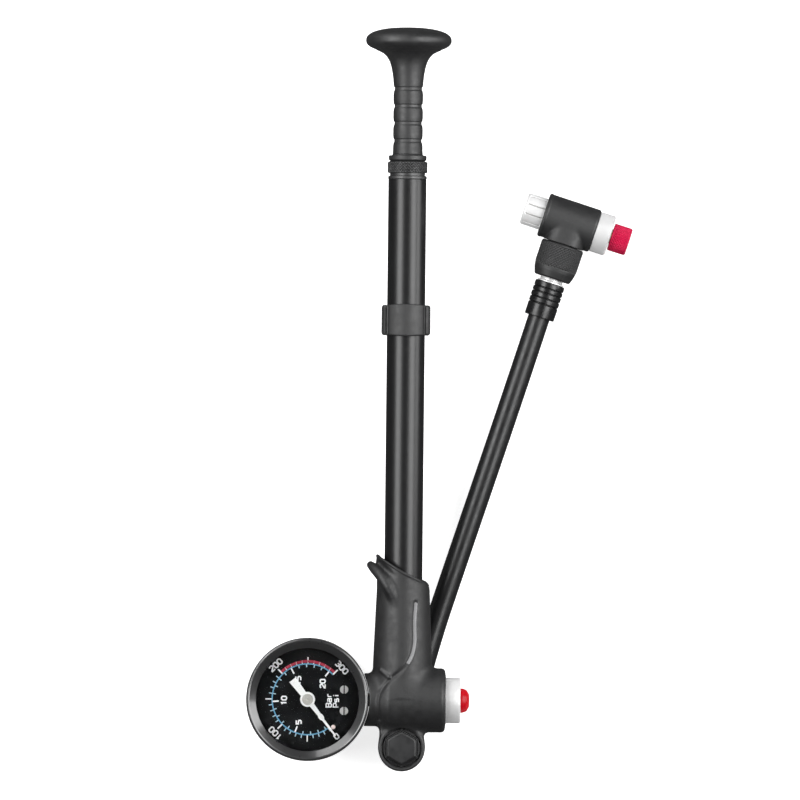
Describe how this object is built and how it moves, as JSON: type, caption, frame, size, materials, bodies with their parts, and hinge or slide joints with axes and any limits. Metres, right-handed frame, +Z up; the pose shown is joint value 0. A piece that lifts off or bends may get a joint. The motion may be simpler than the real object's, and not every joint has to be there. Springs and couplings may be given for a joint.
{
  "type": "shock suspension pump",
  "caption": "Hand pump with a slim barrel, mushroom handle, dial gauge, bleed button and swivelling hose with a screw-on T head, for charging air suspension dampers.",
  "frame": {"origin": "middle of the pump's footprint on the surface that it lies on, without the hose and its head", "axes": "+Y along the barrel towards the handle, +X from the gauge towards the bleed valve, +Z up, the way the gauge's dial faces"},
  "size_m": [0.1285, 0.2498, 0.0357],
  "materials": {
    "handle": "satin black moulded plastic",
    "steel": "ground steel",
    "inner_plastic": "natural acetal",
    "seal": "nitrile rubber",
    "barrel": "black anodised, glossy",
    "gland": "black anodised, knurled",
    "body": "satin black moulded plastic",
    "brass": "machined",
    "plug": "satin black",
    "gauge_case": "black enamel",
    "bezel": "gloss black",
    "lens": "clear",
    "dial": "printed matte black",
    "chrome": "bright plated",
    "needle": "white paint",
    "needle_cap": "beige grey",
    "red_plastic": "red, glossy",
    "red_metal": "red anodised, knurled",
    "clip": "satin black",
    "banjo": "black anodised",
    "ferrule": "gloss black",
    "hose": "smooth black",
    "head": "black anodised, satin",
    "silver": "satin silver"
  },
  "bodies": {
    "pump": {"barrel": "barrel", "barrel_seal": "seal", "gland_cap": "gland", "gland_bush": "inner_plastic", "wiper_seal": "seal", "base_body": "body", "check_valve_seat": "brass", "check_valve_disc": "seal", "check_valve_spring": "steel", "pivot_plug": "plug", "pivot_bolt": "steel", "pivot_seals": "seal", "gauge_stem": "brass", "gauge_case": "gauge_case", "gauge_back_cover": "gauge_case", "gauge_bezel": "bezel", "gauge_lens": "lens", "gauge_dial": "dial", "dial_screws": "chrome", "stop_pin": "chrome", "bourdon_tube": "brass", "movement_frame": "brass", "bleed_sleeve": "chrome"},
    "plunger": {"handle_grip": "handle", "handle_ferrule": "handle", "plunger_rod": "steel", "piston": "inner_plastic", "piston_seal": "seal", "rod_bumper": "seal"},
    "clip": {"hose_clip": "clip"},
    "needle": {"pinion_arbor": "brass", "needle": "needle", "needle_cap": "needle_cap"},
    "sector": {"sector_gear": "brass"},
    "bleed": {"bleed_button": "red_plastic", "bleed_stem": "steel", "bleed_seal": "seal", "bleed_spring": "steel"},
    "hose_arm": {"banjo": "banjo", "lower_ferrule": "ferrule", "hose": "hose", "upper_ferrule": "ferrule", "hose_nipple": "chrome"},
    "head": {"swivel_sleeve": "head", "head_body": "head", "head_collar": "silver", "pin_seal": "seal"},
    "nozzle": {"valve_nozzle": "chrome", "nozzle_seal": "seal"},
    "valve_pin": {"valve_pin": "brass"},
    "head_knob": {"knob_spindle": "brass", "head_knob": "red_metal"}
  },
  "joints": [
    {"name": "plunger_slide", "type": "slide", "parent": "pump", "child": "plunger", "axis": [0, 1, 0], "range_m": [0, 0.13]},
    {"name": "clip_slide", "type": "slide", "parent": "pump", "child": "clip", "axis": [0, 1, 0], "range_m": [-0.07, 0.041]},
    {"name": "needle_turn", "type": "hinge", "parent": "pump", "child": "needle", "pos_m": [-0.01685, -0.10107, 0.025], "axis": [0, 0, -1], "range_deg": [0, 263]},
    {"name": "sector_turn", "type": "hinge", "parent": "pump", "child": "sector", "pos_m": [-0.01685, -0.10708, 0.0193], "axis": [0, 0, -1], "range_deg": [-48, 0]},
    {"name": "bleed_press", "type": "slide", "parent": "pump", "child": "bleed", "axis": [-1, 0, 0], "range_m": [0, 0.002], "stiffness_N_per_m": 900, "springref_m": -0.002, "deforming": ["bleed_spring"]},
    {"name": "hose_swing", "type": "hinge", "parent": "pump", "child": "hose_arm", "pos_m": [0.01485, -0.11707, 0.0074], "axis": [0, 0, -1], "range_deg": [-17.2, 205]},
    {"name": "head_swivel", "type": "hinge", "parent": "hose_arm", "child": "head", "pos_m": [0.06991, 0.06, 0.0074], "axis": [0.304, 0.9527, 0], "range_deg": [-180, 180]},
    {"name": "nozzle_turn", "type": "hinge", "parent": "head", "child": "nozzle", "pos_m": [0.05847, 0.06365, 0.0074], "axis": [-0.9527, 0.304, 0], "continuous": true},
    {"name": "pin_feed", "type": "slide", "parent": "head", "child": "valve_pin", "axis": [0.9527, -0.304, 0], "range_m": [0, 0.002]},
    {"name": "knob_turn", "type": "hinge", "parent": "valve_pin", "child": "head_knob", "pos_m": [0.0861, 0.05484, 0.0074], "axis": [0.9527, -0.304, 0], "range_deg": [0, 721]}
  ],
  "couplings": [
    {"joint": "sector_turn", "follows": "needle_turn", "ratio": -0.17822},
    {"joint": "knob_turn", "follows": "pin_feed", "rad_per_m": 6283.2}
  ]
}
